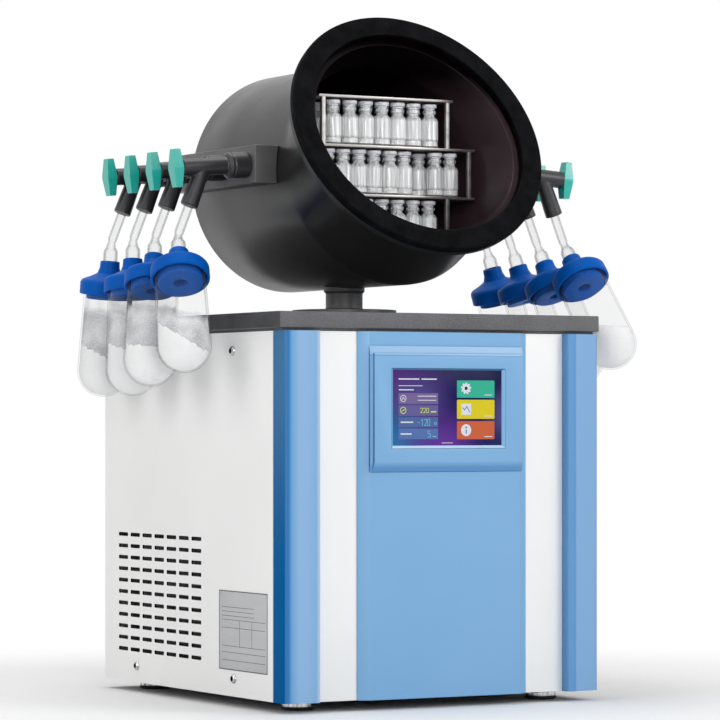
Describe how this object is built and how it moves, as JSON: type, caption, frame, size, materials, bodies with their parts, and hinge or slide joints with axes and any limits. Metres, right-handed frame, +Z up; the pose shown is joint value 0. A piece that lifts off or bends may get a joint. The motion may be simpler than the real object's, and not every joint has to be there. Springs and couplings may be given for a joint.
{
  "type": "freeze dryer",
  "caption": "Bench-top laboratory freeze dryer with a drum chamber, flask manifolds and a vial rack",
  "frame": {"origin": "middle of the bounding box in plan, at floor level under the feet", "axes": "+Z up; -Y towards the front with the display and the chamber's mouth; +X to the right seen from the front"},
  "size_m": [0.6936, 0.554, 0.8664],
  "materials": {
    "white_paint": "satin white powder coat",
    "blue_paint": "semi-gloss light blue paint",
    "screen_glass": "glossy dark display glass",
    "black_board": "matt laminate board, dark grey",
    "dark_metal": "dull dark metal",
    "black_plastic": "fine-grained black",
    "bright_steel": "bright stainless",
    "black_paint": "satin black",
    "coil_metal": "finned, dull",
    "black_rubber": "matt black rubber",
    "green_plastic": "glossy teal green",
    "blue_rubber": "satin deep blue rubber",
    "clear_glass": "clear laboratory glass"
  },
  "bodies": {
    "body": {"base_tray": "dark_metal", "left_side_panel": "white_paint", "right_side_panel": "white_paint", "rear_panel": "white_paint", "front_panel": "white_paint", "left_front_post": "blue_paint", "right_front_post": "blue_paint", "centre_cover": "blue_paint", "display_bezel": "blue_paint", "touch_display": "screen_glass", "worktop": "black_board", "foot_front_left": "dark_metal", "foot_front_right": "dark_metal", "foot_rear_left": "dark_metal", "foot_rear_right": "dark_metal", "power_inlet": "black_plastic", "vacuum_port": "bright_steel", "cold_trap": "bright_steel", "compressor": "black_paint", "condenser_unit": "coil_metal", "drum_shell": "black_paint", "mouth_gasket": "black_rubber", "drum_column": "black_paint", "vial_rack": "bright_steel", "manifold_bar_left": "black_plastic", "manifold_bar_right": "black_plastic", "valve_body_left_1": "black_rubber", "valve_body_left_2": "black_rubber", "valve_body_left_3": "black_rubber", "valve_body_left_4": "black_rubber", "valve_body_right_1": "black_rubber", "valve_body_right_2": "black_rubber", "valve_body_right_3": "black_rubber", "valve_body_right_4": "black_rubber", "flask_head_left_1": "blue_rubber", "flask_head_left_2": "blue_rubber", "flask_head_left_3": "blue_rubber", "flask_head_left_4": "blue_rubber", "flask_head_right_1": "blue_rubber", "flask_head_right_2": "blue_rubber", "flask_head_right_3": "blue_rubber", "flask_head_right_4": "blue_rubber", "flask_left_1": "clear_glass", "flask_left_2": "clear_glass", "flask_left_3": "clear_glass", "flask_left_4": "clear_glass", "flask_right_1": "clear_glass", "flask_right_2": "clear_glass", "flask_right_3": "clear_glass", "flask_right_4": "clear_glass"},
    "knob_left_1": {"valve_knob_left_1": "green_plastic"},
    "knob_left_2": {"valve_knob_left_2": "green_plastic"},
    "knob_left_3": {"valve_knob_left_3": "green_plastic"},
    "knob_left_4": {"valve_knob_left_4": "green_plastic"},
    "knob_right_1": {"valve_knob_right_1": "green_plastic"},
    "knob_right_2": {"valve_knob_right_2": "green_plastic"},
    "knob_right_3": {"valve_knob_right_3": "green_plastic"},
    "knob_right_4": {"valve_knob_right_4": "green_plastic"},
    "fan": {"condenser_fan": "black_plastic"},
    "rocker": {"power_rocker": "black_plastic"}
  },
  "joints": [
    {"name": "valve_turn_left_1", "type": "hinge", "parent": "body", "child": "knob_left_1", "pos_m": [-0.27391, -0.06153, 0.66878], "axis": [-0.9969, 0, -0.0785], "range_deg": [0, 180]},
    {"name": "valve_turn_left_2", "type": "hinge", "parent": "body", "child": "knob_left_2", "pos_m": [-0.27391, 0.00247, 0.66878], "axis": [-0.9969, 0, -0.0785], "range_deg": [0, 180]},
    {"name": "valve_turn_left_3", "type": "hinge", "parent": "body", "child": "knob_left_3", "pos_m": [-0.27391, 0.06647, 0.66878], "axis": [-0.9969, 0, -0.0785], "range_deg": [0, 180]},
    {"name": "valve_turn_left_4", "type": "hinge", "parent": "body", "child": "knob_left_4", "pos_m": [-0.27391, 0.13047, 0.66878], "axis": [-0.9969, 0, -0.0785], "range_deg": [0, 180]},
    {"name": "valve_turn_right_1", "type": "hinge", "parent": "body", "child": "knob_right_1", "pos_m": [0.25952, -0.10353, 0.66878], "axis": [0.9969, 0, -0.0785], "range_deg": [0, 180]},
    {"name": "valve_turn_right_2", "type": "hinge", "parent": "body", "child": "knob_right_2", "pos_m": [0.25952, -0.03953, 0.66878], "axis": [0.9969, 0, -0.0785], "range_deg": [0, 180]},
    {"name": "valve_turn_right_3", "type": "hinge", "parent": "body", "child": "knob_right_3", "pos_m": [0.25952, 0.02447, 0.66878], "axis": [0.9969, 0, -0.0785], "range_deg": [0, 180]},
    {"name": "valve_turn_right_4", "type": "hinge", "parent": "body", "child": "knob_right_4", "pos_m": [0.25952, 0.08847, 0.66878], "axis": [0.9969, 0, -0.0785], "range_deg": [0, 180]},
    {"name": "fan_spin", "type": "hinge", "parent": "body", "child": "fan", "pos_m": [-0.14819, 0.08607, 0.11], "axis": [1, 0, 0], "continuous": true},
    {"name": "rocker_tilt", "type": "hinge", "parent": "body", "child": "rocker", "pos_m": [0.14281, 0.24197, 0.107], "axis": [1, 0, 0], "range_deg": [-16, 0]}
  ]
}
